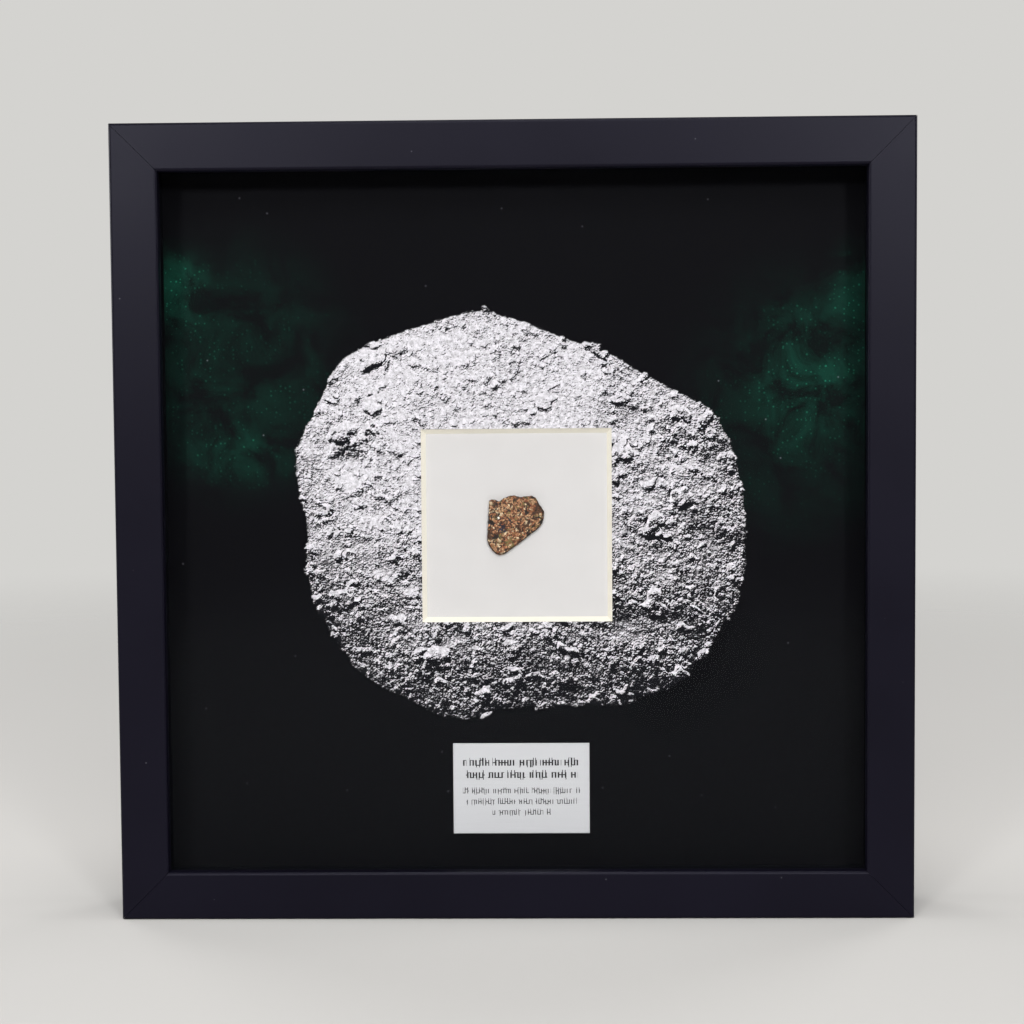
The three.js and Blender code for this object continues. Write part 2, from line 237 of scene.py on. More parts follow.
def closed_rings(name, rings, start, end):
    """A closed mesh from an array of rings, each with the same number of points.

    rings is ring by point by xyz. Neighbouring rings are joined by quads, and the first and
    the last ring by a fan each to the points start and end.
    """
    levels, count = rings.shape[:2]
    points = np.concatenate([rings.reshape(-1, 3), [start, end]])
    here = np.arange(levels * count).reshape(levels, count)
    after = np.roll(here, -1, axis=1)
    quads = np.stack([here[:-1], after[:-1], after[1:], here[1:]], axis=-1).reshape(-1, 4)
    first = np.stack([after[0], here[0], np.full(count, levels * count)], axis=-1)
    last = np.stack([here[-1], after[-1], np.full(count, levels * count + 1)], axis=-1)
    mesh = bpy.data.meshes.new(name)
    mesh.from_pydata(points.tolist(), [], quads.tolist() + first.tolist() + last.tolist())
    mesh.polygons.foreach_set("use_smooth", np.ones(len(mesh.polygons), dtype=bool))
    mesh.update()
    piece = bpy.data.objects.new(name, mesh)
    bpy.context.scene.collection.objects.link(piece)
    return piece


SLICE_ANGLES = 400
FACE_RINGS = 104
WALL_RINGS = 16
FACE_SCALE = 0.95  # the cut face is this much smaller than the outline
FACE_SHIFT = (-0.25 * MM, 0.2 * MM)  # so that the wall shows at the lower right
WIDEST = 0.45  # the outline is widest at this share of the thickness
PATCHES = (  # colour, place from the middle in mm, radius in mm, and share of the crystals
    ("blue", -4.2, -1.0, 1.3, 0.85), ("blue", -2.2, 1.8, 0.7, 0.7), ("brown", 7.4, 5.4, 1.7, 0.8),
    ("dark", -8.0, 0.9, 1.2, 0.85), ("dark", 3.5, 4.3, 0.6, 1.0), ("dark", -6.9, -3.6, 1.1, 0.6),
    ("brown", -8.2, -2.6, 1.4, 0.6), ("olive", -2.0, -6.0, 1.5, 0.35),
    ("olive", -5.4, -4.4, 1.5, 0.4), ("brown", 3.6, 0.1, 1.6, 0.45), ("dark", 0.9, 5.2, 0.5, 0.9),
    ("tan", -4.7, 4.4, 0.7, 0.9), ("tan", 4.2, 3.0, 0.7, 0.8), ("tan", 5.3, 7.6, 1.0, 0.6),
    ("dark", 8.4, 0.9, 0.8, 0.8), ("dark", 4.2, -3.4, 0.9, 0.9),
    ("dark", 5.6, -2.2, 0.6, 0.9), ("brown", 7.0, 3.9, 1.6, 0.4), ("dark", -8.6, 3.0, 0.8, 0.7),
    ("cream", 0.3, -1.6, 0.5, 0.9), ("cream", -8.2, 7.2, 0.7, 0.7), ("cream", 8.4, 3.2, 0.7, 0.7),
)
WHITE_CRYSTAL = (-5.5, 2.35, 0.5)  # its place from the middle, and its radius, in mm
MIX = (("cream", 0.07), ("tan", 0.17), ("peach", 0.17), ("rust", 0.23), ("brown", 0.19),
       ("dark", 0.08), ("olive", 0.09))  # share of the crystals that has each colour
FIELD_SIDE = 21 * MM  # the square that the crystals fill
SHAKE = 0.55  # how far a crystal lies off the even grid, as a share of the grid's step
PLUCKED_SHARE = 0.05  # of the crystals, torn out by the saw
JOINT_WIDTH = 0.16  # of the groove between two crystals, as a share of the grid's step
JOINT_SHADE = 0.62  # how much of the colour the grime in a joint hides
PLUCKED_SHADE = 0.35


def slice_outline(angles):
    """The outline's radius at each angle about the middle of the slice.

    It is read off the CAD slice: the ring of its points at the widest level, as radius over
    angle, with straight lines between them.
    """
    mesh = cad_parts["meteorite_slice"].data
    points = np.empty(3 * len(mesh.vertices))
    mesh.vertices.foreach_get("co", points)
    points = points.reshape(-1, 3) - np.array(SLICE_MIDDLE)
    level = SLICE_THICKNESS * (0.5 - WIDEST)
    ring = points[np.abs(points[:, 1] - level) < 0.01 * SLICE_THICKNESS]
    turn = np.arctan2(ring[:, 2], ring[:, 0])
    order = np.argsort(turn)
    radius = np.hypot(ring[:, 0], ring[:, 2])
    return np.interp(angles, turn[order], radius[order], period=2 * math.pi)


def ripples(rng, waves, length, x, z):
    """Smooth random ups and downs between about -1 and 1 at each x, z.

    The sum of sine waves of about that length, each with a random direction, length and start.
    """
    turn = rng.uniform(0, 2 * math.pi, waves)
    start = rng.uniform(0, 2 * math.pi, waves)
    rate = 2 * math.pi / (length * rng.uniform(0.7, 1.5, waves))
    total = np.zeros_like(x)
    for k in range(waves):
        total += np.sin(rate[k] * (x * np.cos(turn[k]) + z * np.sin(turn[k])) + start[k])
    return total / math.sqrt(waves)


def crystal_field(settings, x, z):
    """Height over the cut plane and colour of the stone at each x, z from its middle.

    Crystal middles lie on a shaken grid. A point belongs to the crystal whose middle is
    nearest in that crystal's own stretched and turned axes. Its height is that crystal's
    tilted plane, less a groove that deepens where the next crystal is as near.
    """
    rng = np.random.default_rng(settings.seed)
    pitch = settings.crystal
    steps = int(np.ceil(FIELD_SIDE / pitch))
    grid = (np.arange(steps) - (steps - 1) / 2) * pitch
    across, up = (g.ravel() for g in np.meshgrid(grid, grid))
    across = across + rng.uniform(-SHAKE, SHAKE, across.size) * pitch
    up = up + rng.uniform(-SHAKE, SHAKE, up.size) * pitch
    count = across.size
    turn = rng.uniform(0, math.pi, count)
    stretch = rng.uniform(1.0, 1.9, count)
    size = rng.uniform(0.75, 1.5, count)
    lean = rng.normal(0, 0.07, (2, count))
    lift = rng.uniform(-0.5, 0.5, count) * settings.relief
    plucked = rng.random(count) < PLUCKED_SHARE
    names = [name for name, _ in MIX]
    shares = np.array([share for _, share in MIX])
    kind = rng.choice(len(names), count, p=shares / shares.sum())
    palette = np.array([getattr(settings, name) for name in names])
    colours = palette[kind] * rng.uniform(0.78, 1.22, (count, 1))
    for name, patch_x, patch_z, radius, most in PATCHES:
        away = np.hypot(across - patch_x * MM, up - patch_z * MM) / (radius * MM)
        inside = (away + rng.uniform(-0.25, 0.25, count) < 1) & (rng.random(count) < most)
        shades = rng.uniform(0.7, 1.3, (inside.sum(), 1))
        colours[inside] = np.array(getattr(settings, name)) * shades
    white_x, white_z, white_radius = (value * MM for value in WHITE_CRYSTAL)
    away = np.hypot(across - white_x, up - white_z)
    white = away.argmin()
    crowd = (away < 1.05 * white_radius) & (np.arange(count) != white)
    across[crowd] += 1
    across[white], up[white], stretch[white], lean[:, white] = white_x, white_z, 1.0, 0.0
    size[white], lift[white], plucked[white] = 1.3, 0.4 * settings.relief, False
    colours[white] = settings.white
    height = np.empty(x.size)
    colour = np.empty((x.size, 3))
    for part in np.array_split(np.arange(x.size), max(1, x.size // 3000)):
        dx = x[part, None] - across
        dz = z[part, None] - up
        along = dx * np.cos(turn) + dz * np.sin(turn)
        side = dz * np.cos(turn) - dx * np.sin(turn)
        far = np.hypot(along / stretch, side * stretch) / size
        own = far.argmin(axis=1)
        row = np.arange(part.size)
        nearest = far[row, own]
        far[row, own] = np.inf
        gap = (far.min(axis=1) - nearest) / pitch
        plane = lift[own] + lean[0, own] * dx[row, own] + lean[1, own] * dz[row, own]
        joint = np.exp(-(gap / JOINT_WIDTH) ** 2)
        hole = np.where(plucked[own], np.clip(gap / 0.35, 0, 1) * 4 * settings.groove, 0)
        height[part] = plane - settings.groove * joint - hole
        dim = 1 - JOINT_SHADE * joint - np.where(plucked[own], PLUCKED_SHADE, 0)
        colour[part] = colours[own] * dim[:, None]
    return height, colour


def slice_surface(settings):
    """Rings of points over the whole slice, and a colour for each.

    With t the angle and s running from the back's edge over the wall and then inwards over
    the face, a point is outline(t) times scale(s), plus a shift, at height(s) over the
    board. The wall bulges to its widest level and leans in to the face. On the face the
    height gains the crystals' relief, the pits and the saw's faint steps.
    """
    rng = np.random.default_rng(settings.seed + 1)
    angles = np.linspace(0, 2 * math.pi, SLICE_ANGLES, endpoint=False)
    radius = slice_outline(angles)
    rise = np.linspace(0, 1, WALL_RINGS)
    inward = 1 - np.linspace(0, 1, FACE_RINGS, endpoint=False)[1:] ** 1.12
    lower = 0.985 + 0.015 * np.clip(rise / WIDEST, 0, 1)
    upper = np.clip((rise - WIDEST) / (1 - WIDEST), 0, 1)
    scale = np.concatenate([lower - (1 - FACE_SCALE) * upper ** 1.3, FACE_SCALE * inward])
    shift = np.concatenate([upper, np.ones(inward.size)])
    level = np.concatenate([rise, np.ones(inward.size)])
    x = scale[:, None] * radius * np.cos(angles) + shift[:, None] * FACE_SHIFT[0]
    z = scale[:, None] * radius * np.sin(angles) + shift[:, None] * FACE_SHIFT[1]
    wall = np.clip(level * 4, 0, 1) * (np.arange(scale.size) < WALL_RINGS)
    turn_x = np.broadcast_to(np.cos(angles) * radius, x.shape)
    turn_z = np.broadcast_to(np.sin(angles) * radius, x.shape)
    drop = level[:, None] * SLICE_THICKNESS
    rough = ripples(rng, 24, 0.9 * MM, turn_x + drop, turn_z - drop)
    notches = ripples(rng, 16, 1.5 * MM, turn_x, turn_z)
    inset = 1 - 0.008 * (1 + 0.7 * notches) - wall[:, None] * 0.006 * (1 + rough)
    x, z = x * inset, z * inset
    height, colour = crystal_field(settings, x.ravel(), z.ravel())
    height, colour = height.reshape(x.shape), colour.reshape(*x.shape, 3)
    worn = ripples(rng, 14, 4 * MM, x, z) * 0.02 * MM
    edge = (1 - scale[:, None] / FACE_SCALE) * radius
    rounding = 0.05 * MM * np.exp(-np.clip(edge, 0, None) / (0.12 * MM))
    face = height + worn - rounding - 1.2 * settings.relief
    for name, pit_x, pit_z, pit_radius, _ in PATCHES:
        if name in {"dark", "blue"}:
            away = np.hypot(x - pit_x * MM, z - pit_z * MM) / (pit_radius * MM)
            face = face - 0.12 * MM * np.clip(1 - away ** 2, 0, None)
    on_face = (np.arange(scale.size) >= WALL_RINGS - 1)[:, None]
    up = level[:, None] * SLICE_THICKNESS + np.where(on_face, face, 0)
    up = np.clip(up, 0, SLICE_THICKNESS)
    # The side wall is coloured towards the dark brown by a mottled share: painted shade.
    wall_shade_share = np.clip(0.55 + 0.3 * ripples(rng, 12, 1.6 * MM, turn_x, turn_z + drop), 0.15, 1)
    wall_shade_mix = np.where(on_face, 0.0, wall_shade_share)[..., None]
    colour = colour * (1 - wall_shade_mix) + np.array(settings.wall_shade) * wall_shade_mix
    rings = np.stack([SLICE_MIDDLE.x + x, SLICE_HIGH.y - up, SLICE_MIDDLE.z + z], axis=-1)
    return rings, colour


def cut_achondrite():
    """Achondrite, a stony meteorite, sawn and ground with fine grit but not polished.

    The eye gets a tight mosaic of tan, rust and dark crystals. Their flat faces have a dull
    shine, and the joints and plucked holes between them are matte.
    """
    material, tree, shader, where = new_material("sawn achondrite", IOR=1.38)
    crystals = add(tree, "ShaderNodeAttribute", attribute_name="crystals")
    grit = add(tree, "ShaderNodeTexNoise", {
        "Vector": where, "Scale": 1 / (0.12 * MM), "Detail": 2.0,
    })
    grains = add(tree, "ShaderNodeTexVoronoi", {"Vector": where, "Scale": 1 / (0.22 * MM)})
    change = add(tree, "ShaderNodeMapRange", {0: grit, 1: 0.3, 2: 0.7, 3: 0.62, 4: 1.32})
    speck = add(tree, "ShaderNodeMapRange", {0: grains, 1: 0.0, 2: 0.9, 3: 1.18, 4: 0.8})
    change = add(tree, "ShaderNodeMath", {0: change, 1: speck}, operation="MULTIPLY")
    colour = add(tree, "ShaderNodeVectorMath", {0: crystals, 3: change}, operation="SCALE")
    shine = add(tree, "ShaderNodeMapRange", {0: grit, 1: 0.35, 2: 0.65, 3: 0.42, 4: 0.7})
    bump = add(tree, "ShaderNodeBump", {
        "Strength": 0.35, "Distance": 0.02 * MM, "Height": grit,
    })
    link_up(tree, shader, Base_Color=colour, Roughness=shine, Normal=bump)
    return material


class SPECIMEN_OT_slice(bpy.types.Operator):
    """Make the cut slice of meteorite in the window"""

    bl_idname = "specimen.slice"
    bl_label = "Meteorite slice"

    def execute(self, context):
        settings = context.scene.specimen_slice
        rings, colour = slice_surface(settings)
        back = (SLICE_MIDDLE.x, SLICE_HIGH.y, SLICE_MIDDLE.z)
        piece = closed_rings("cut_meteorite", rings, back, rings[-1].mean(axis=0))
        shades = np.ones((len(piece.data.vertices), 4))
        shades[:-2, :3] = colour.reshape(-1, 3)
        shades[-2, :3] = settings.wall_shade
        shades[-1, :3] = colour[-1].mean(axis=0)
        attribute = piece.data.attributes.new("crystals", "FLOAT_COLOR", "POINT")
        attribute.data.foreach_set("color", shades.ravel())
        piece.data.materials.append(cut_achondrite())
        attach(piece, "root")
        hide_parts("meteorite_slice")
        return {"FINISHED"}


def painted_mdf(settings):
    """Medium-density fibreboard moulding, sprayed with two coats of satin charcoal paint.

    The eye gets an even dark grey-blue with a broad soft shine, a faint orange peel from the
    spray, and the odd fleck of dust caught in the paint.
    """
    material, tree, shader, where = new_material(
        "sprayed satin paint on MDF", IOR=1.22, Specular_Tint=opaque(linear("#ebebff")),
    )
    peel = add(tree, "ShaderNodeTexNoise", {
        "Vector": where, "Scale": 1 / (0.9 * MM), "Detail": 3.0,
    })
    cloud = add(tree, "ShaderNodeTexNoise", {
        "Vector": where, "Scale": 1 / (45 * MM), "Detail": 3.0,
    })
    flecks = add(tree, "ShaderNodeTexVoronoi", {"Vector": where, "Scale": 1 / (9 * MM)})
    fleck = add(tree, "ShaderNodeMapRange", {0: flecks, 1: 0.012, 2: 0.03, 3: 1.0, 4: 0.0})
    paint = shaded(tree, settings.paint, cloud, 0.88, 1.12)
    dusted = add(tree, "ShaderNodeMix", {
        0: fleck, 6: paint, 7: opaque(linear("#55555c")),
    }, out=2, data_type="RGBA")
    shine = add(tree, "ShaderNodeMapRange", {0: cloud, 1: 0.3, 2: 0.7, 3: 0.35, 4: 0.4})
    bump = add(tree, "ShaderNodeBump", {
        "Strength": 0.25, "Distance": 0.03 * MM, "Height": peel,
    })
    link_up(tree, shader, Base_Color=dusted, Roughness=shine, Normal=bump)
    return material


class SPECIMEN_OT_rails(bpy.types.Operator):
    """Finish the four mitred rails"""

    bl_idname = "specimen.rails"
    bl_label = "Frame rails"

    def execute(self, context):
        paint = painted_mdf(context.scene.specimen_frame)
        coat(paint, "rail_top", "rail_bottom", "rail_left", "rail_right")
        return {"FINISHED"}


def coated_glass():
    """Float glass with a vacuum-deposited anti-reflective coating, as used on picture frames.

    The eye looks straight through it: each face mirrors well under one per cent, rising only
    at a glancing angle. It is thin and flat, so what is behind it isn't shifted.
    """
    material = bpy.data.materials.new("anti-reflective float glass")
    material.use_nodes = True
    tree = material.node_tree
    tree.nodes.clear()
    inside = add(tree, "ShaderNodeNewGeometry", out=6)
    index = add(tree, "ShaderNodeMapRange", {0: inside, 1: 0.0, 2: 1.0, 3: 1.1, 4: 1 / 1.1})
    mirrored = add(tree, "ShaderNodeFresnel", {0: index})
    clear = add(tree, "ShaderNodeBsdfTransparent", {0: opaque(linear("#fefefe"))})
    gloss = add(tree, "ShaderNodeBsdfGlossy", {
        "Color": opaque(linear("#e8f2f4")), "Roughness": 0.02,
    })
    pane = add(tree, "ShaderNodeMixShader", {0: mirrored, 1: clear, 2: gloss})
    add(tree, "ShaderNodeOutputMaterial", {"Surface": pane})
    return material


def black_foamboard(settings):
    """Foamboard faced with black paper, cut into strips. Matte, with the paper's faint tooth."""
    material, tree, shader, where = new_material("black foamboard", Roughness=1.0, IOR=1.15)
    tooth = add(tree, "ShaderNodeTexNoise", {
        "Vector": where, "Scale": 1 / (0.35 * MM), "Detail": 4.0,
    })
    colour = shaded(tree, settings.lining, tooth, 0.7, 1.3)
    bump = add(tree, "ShaderNodeBump", {
        "Strength": 0.4, "Distance": 0.03 * MM, "Height": tooth,
    })
    link_up(tree, shader, Base_Color=colour, Normal=bump)
    return material


class SPECIMEN_OT_glazing(bpy.types.Operator):
    """Finish the glass and the black strips behind it"""

    bl_idname = "specimen.glazing"
    bl_label = "Glass and strips"

    def execute(self, context):
        coat(coated_glass(), "glass_pane")
        strips = black_foamboard(context.scene.specimen_frame)
        coat(strips, "spacer_top", "spacer_bottom", "spacer_left", "spacer_right")
        return {"FINISHED"}


HILL_LENGTH, HILL_HEIGHT = 24.0, 9.0  # in mm
DUST_LENGTH = 13.0  # usual distance in mm from one dusty stretch to the next
ROCKS = (  # distance apart as a share of the largest ones', how rare big ones are, and height
    (1.0, 7.0, 1.3), (0.35, 5.0, 1.3), (0.14, 1.6, 1.6), (0.07, 0.8, 1.7),
)


def rubble_group(settings):
    """A node group that gives the height in mm of the pictured ground at a place in mm.

    Hills are soft noise. Pits are bowls with a low rim. Rocks are half balls with shaken
    outlines, in four sizes, and on the smoother stretches the rocks are sunk in dust.
    """
    tree = bpy.data.node_groups.new("rubble height", "ShaderNodeTree")
    tree.interface.new_socket("Place", in_out="INPUT", socket_type="NodeSocketVector")
    tree.interface.new_socket("Height", in_out="OUTPUT", socket_type="NodeSocketFloat")
    place = add(tree, "NodeGroupInput")
    hills = add(tree, "ShaderNodeTexNoise", {
        "Vector": place, "Scale": 1 / HILL_LENGTH, "Detail": 2.0,
    }, noise_dimensions="2D")
    height = add(tree, "ShaderNodeMath", {0: hills, 1: HILL_HEIGHT}, operation="MULTIPLY")
    pits = add(tree, "ShaderNodeTexVoronoi", {
        "Vector": place, "Scale": MM / settings.crater,
    }, voronoi_dimensions="2D")
    lot = add(tree, "ShaderNodeSeparateColor", {0: pits.node.outputs["Color"]})
    reach = add(tree, "ShaderNodeMapRange", {0: lot, 1: 0.35, 2: 1.0, 3: 0.06, 4: 0.4})
    share = add(tree, "ShaderNodeMath", {0: pits, 1: reach}, operation="DIVIDE")
    bowl = add(tree, "ShaderNodeMapRange", {0: share, 1: 0.2, 2: 0.8, 3: -0.26, 4: 0.06},
               interpolation_type="SMOOTHSTEP")
    rim = add(tree, "ShaderNodeMapRange", {0: share, 1: 0.8, 2: 1.0, 3: 0.0, 4: -0.06},
              interpolation_type="SMOOTHSTEP")
    bowl = add(tree, "ShaderNodeMath", {0: bowl, 1: rim}, operation="ADD")
    depth = add(tree, "ShaderNodeMath", {0: reach, 1: settings.crater / MM},
                operation="MULTIPLY")
    height = add(tree, "ShaderNodeMath", {0: bowl, 1: depth, 2: height},
                 operation="MULTIPLY_ADD")
    dust = add(tree, "ShaderNodeTexNoise", {
        "Vector": place, "Scale": 1 / DUST_LENGTH, "Detail": 2.0,
    }, noise_dimensions="2D")
    bare = add(tree, "ShaderNodeMapRange", {0: dust, 1: 0.36, 2: 0.62, 3: 0.5, 4: 1.1})
    for size, rarity, steepness in ROCKS:
        spacing = size * settings.boulder / MM
        shake = add(tree, "ShaderNodeTexNoise", {
            "Vector": place, "Scale": 2.2 / spacing, "Detail": 1.0,
        }, out=1, noise_dimensions="2D")
        shake = add(tree, "ShaderNodeVectorMath", {0: shake, 1: (0.5, 0.5, 0.5)},
                    operation="SUBTRACT")
        shaken = add(tree, "ShaderNodeVectorMath", {
            0: shake, 1: (0.75 * spacing, 0.75 * spacing, 0.0), 2: place,
        }, operation="MULTIPLY_ADD")
        away = add(tree, "ShaderNodeTexVoronoi", {
            "Vector": shaken, "Scale": 1 / spacing,
        }, voronoi_dimensions="2D")
        lot = add(tree, "ShaderNodeSeparateColor", {0: away.node.outputs["Color"]})
        rare = add(tree, "ShaderNodeMath", {0: lot, 1: rarity}, operation="POWER")
        reach = add(tree, "ShaderNodeMapRange", {0: rare, 1: 0.0, 2: 1.0, 3: 0.16, 4: 0.62})
        share = add(tree, "ShaderNodeMath", {0: away, 1: reach}, operation="DIVIDE")
        square = add(tree, "ShaderNodeMath", {0: share, 1: share}, operation="MULTIPLY")
        left = add(tree, "ShaderNodeMath", {0: 1.0, 1: square}, operation="SUBTRACT",
                   use_clamp=True)
        dome = add(tree, "ShaderNodeMath", {0: left, 1: 0.5}, operation="POWER")
        tall = add(tree, "ShaderNodeMath", {0: reach, 1: bare}, operation="MULTIPLY")
        tall = add(tree, "ShaderNodeMath", {0: tall, 1: steepness * spacing},
                   operation="MULTIPLY")
        height = add(tree, "ShaderNodeMath", {0: dome, 1: tall, 2: height},
                     operation="MULTIPLY_ADD")
    add(tree, "NodeGroupOutput", {0: height})
    return tree


SUN = Vector((-0.25, 0.7, 0.58)).normalized()  # rightwards, upwards, out of the picture
SLOPES = ((0.3, 0.42), (1.2, 0.5))  # step in mm over which a slope is taken, and strength
BEND = 27.4  # how far in mm the egg's outline is pushed about
BEND_LENGTH = 73.3  # usual distance in mm from one push to the next
BEND_START = (-88.0, -488.9, 0.0)  # in mm, picks another outline
TONES = (0.0, 0.72)  # the light that is still black, and the light that is already white


def rocky_body(tree, settings, place):
    """The brightness of the pictured body, from 0 to 1, and its mask, at a place in mm.

    The body is an egg whose edge is shaken by noise. Its brightness is that of a rounded
    form in the sun, less the slope of the ground towards the sun, put through a steep tone
    curve, so that the lit side is nearly white with small hard shadows, and the dust on it is
    a little mottled.
    """
    moved = add(tree, "ShaderNodeVectorMath", {0: place, 1: BEND_START}, operation="ADD")
    warp = add(tree, "ShaderNodeTexNoise", {
        "Vector": moved, "Scale": 1 / BEND_LENGTH, "Detail": 1.0,
    }, out=1, noise_dimensions="2D")
    warp = add(tree, "ShaderNodeVectorMath", {0: warp, 1: (0.5, 0.5, 0.5)},
               operation="SUBTRACT")
    bent = add(tree, "ShaderNodeVectorMath", {0: warp, 1: (BEND, BEND, 0.0), 2: place},
               operation="MULTIPLY_ADD")
    ground = rubble_group(settings)
    height = add(tree, "ShaderNodeGroup", {0: place}, node_tree=ground)
    turned = add(tree, "ShaderNodeVectorRotate", {
        "Vector": bent, "Angle": -settings.tilt,
    }, rotation_type="Z_AXIS")
    half = (2 * MM / settings.width, 2 * MM / settings.height, 0.0)
    unit = add(tree, "ShaderNodeVectorMath", {0: turned, 1: half}, operation="MULTIPLY")
    reach = add(tree, "ShaderNodeVectorMath", {0: unit}, out=1, operation="LENGTH")
    ragged = add(tree, "ShaderNodeMath", {0: height, 1: -0.006, 2: reach},
                 operation="MULTIPLY_ADD")
    mask = add(tree, "ShaderNodeMapRange", {0: ragged, 1: 0.961, 2: 0.953, 3: 0.0, 4: 1.0})
    square = add(tree, "ShaderNodeMath", {0: reach, 1: reach}, operation="MULTIPLY")
    left = add(tree, "ShaderNodeMath", {0: 1.0, 1: square}, operation="SUBTRACT",
               use_clamp=True)
    out = add(tree, "ShaderNodeMath", {0: left, 1: 0.5}, operation="POWER")
    sun = Matrix.Rotation(-settings.tilt, 3, "Z") @ SUN
    facing = add(tree, "ShaderNodeVectorMath", {0: unit, 1: (sun.x, sun.y, 0.0)}, out=1,
                 operation="DOT_PRODUCT")
    facing = add(tree, "ShaderNodeMath", {0: out, 1: sun.z, 2: facing},
                 operation="MULTIPLY_ADD")
    lit = facing
    for step, strength in SLOPES:
        ahead = Vector((SUN.x, SUN.y, 0)).normalized() * step
        towards = add(tree, "ShaderNodeVectorMath", {0: place, 1: tuple(ahead)},
                      operation="ADD")
        higher = add(tree, "ShaderNodeGroup", {0: towards}, node_tree=ground)
        climb = add(tree, "ShaderNodeMath", {0: higher, 1: height}, operation="SUBTRACT")
        lit = add(tree, "ShaderNodeMath", {0: climb, 1: -strength / step, 2: lit},
                  operation="MULTIPLY_ADD")
    tone = add(tree, "ShaderNodeMapRange", {0: lit, 1: TONES[0], 2: TONES[1], 3: 0.0, 4: 1.0})
    dusty = add(tree, "ShaderNodeTexNoise", {
        "Vector": place, "Scale": 1 / 1.4, "Detail": 5.0, "Roughness": 0.8,
    }, noise_dimensions="2D")
    dusty = add(tree, "ShaderNodeMapRange", {0: dusty, 1: 0.32, 2: 0.62, 3: 0.5, 4: 1.05})
    tone = add(tree, "ShaderNodeMath", {0: tone, 1: dusty}, operation="MULTIPLY")
    return tone, mask


# Patches of a painted green reflection on the print's black, at its sides.
PAINTED_REFLECTION_PATCHES = (  # middle in mm from the body's middle, half its size, and strength
    ((-109, 74), (15, 18), 1.0), ((-90, 49), (48, 51), 0.34), ((-88, 21), (27, 13), 0.42),
    ((94, 45), (26, 33), 0.7), ((107, 74), (12, 18), 0.6), ((90, 37), (46, 55), 0.26),
)


def painted_side_reflection(tree, place):
    """How strong the painted green reflection is, from 0 to 1: soft patches, mottled and speckled.
    """
    total = 0.0
    for middle, half, strength in PAINTED_REFLECTION_PATCHES:
        off = add(tree, "ShaderNodeVectorMath", {0: place, 1: (*middle, 0.0)},
                  operation="SUBTRACT")
        share = add(tree, "ShaderNodeVectorMath", {0: off, 1: (1 / half[0], 1 / half[1], 0.0)},
                    operation="MULTIPLY")
        away = add(tree, "ShaderNodeVectorMath", {0: share}, out=1, operation="LENGTH")
        patch = add(tree, "ShaderNodeMapRange", {0: away, 1: 1.0, 2: 0.2, 3: 0.0, 4: strength},
                    interpolation_type="SMOOTHSTEP")
        total = add(tree, "ShaderNodeMath", {0: patch, 1: total}, operation="ADD")
    mottle = add(tree, "ShaderNodeTexNoise", {
        "Vector": place, "Scale": 1 / 15, "Detail": 6.0, "Roughness": 0.68, "Distortion": 0.4,
    }, noise_dimensions="2D")
    mottle = add(tree, "ShaderNodeMapRange", {0: mottle, 1: 0.38, 2: 0.64, 3: 0.1, 4: 1.1})
    specks = add(tree, "ShaderNodeTexVoronoi", {
        "Vector": place, "Scale": 1 / 1.5, "Randomness": 1.0,
    }, voronoi_dimensions="2D")
    lot = add(tree, "ShaderNodeSeparateColor", {0: specks.node.outputs["Color"]})
    reach = add(tree, "ShaderNodeMapRange", {0: lot, 1: 0.5, 2: 1.0, 3: 0.01, 4: 0.3})
    specks = add(tree, "ShaderNodeMath", {0: specks, 1: reach}, operation="DIVIDE")
    specks = add(tree, "ShaderNodeMapRange", {0: specks, 1: 0.4, 2: 1.0, 3: 3.6, 4: 0.85})
    painted_reflection = add(tree, "ShaderNodeMath", {0: total, 1: mottle}, operation="MULTIPLY")
    return add(tree, "ShaderNodeMath", {0: painted_reflection, 1: specks}, operation="MULTIPLY")


def pigment_print(settings):
    """An inkjet print in pigment ink on satin photo paper, glued to the mount.

    The eye gets a deep bluish black with a thin even sheen, and a pale rocky body in neutral
    inks. A painted green reflection lies at the sides, and a few specks of dust lie on the black.
    """
    material, tree, shader, where = new_material(
        "pigment print on satin paper", Roughness=0.65, IOR=1.15,
    )
    flat = add(tree, "ShaderNodeMapping", {
        "Vector": where, "Location": tuple(-BODY_MIDDLE / MM), "Scale": (1 / MM,) * 3,
    })
    parts = add(tree, "ShaderNodeSeparateXYZ", {0: flat}).node.outputs
    place = add(tree, "ShaderNodeCombineXYZ", {0: parts[0], 1: parts[2]})
    tone, mask = rocky_body(tree, settings, place)
    rock = add(tree, "ShaderNodeMix", {
        0: tone, 6: opaque(settings.shade), 7: opaque(settings.lit),
    }, out=2, data_type="RGBA")
    # A painted green reflection, mixed into the print's black at the sides.
    painted_reflection = painted_side_reflection(tree, place)
    dark = add(tree, "ShaderNodeMix", {
        0: painted_reflection, 6: opaque(settings.ground), 7: opaque(settings.painted_reflection),
    }, out=2, data_type="RGBA", clamp_factor=False)
    dust = add(tree, "ShaderNodeTexVoronoi", {
        "Vector": place, "Scale": 1 / 40, "Randomness": 1.0,
    }, voronoi_dimensions="2D")
    dust = add(tree, "ShaderNodeMapRange", {0: dust, 1: 0.004, 2: 0.009, 3: 0.3, 4: 0.0})
    dark = add(tree, "ShaderNodeMix", {
        0: dust, 6: dark, 7: opaque(linear("#9a9aa6")),
    }, out=2, data_type="RGBA")
    picture = add(tree, "ShaderNodeMix", {0: mask, 6: dark, 7: rock}, out=2,
                  data_type="RGBA")
    link_up(tree, shader, Base_Color=picture)
    return material


class SPECIMEN_OT_print(bpy.types.Operator):
    """Print the picture on the sheet in front of the mount"""

    bl_idname = "specimen.print"
    bl_label = "Printed sheet"

    def execute(self, context):
        coat(pigment_print(context.scene.specimen_print), "picture_print")
        return {"FINISHED"}


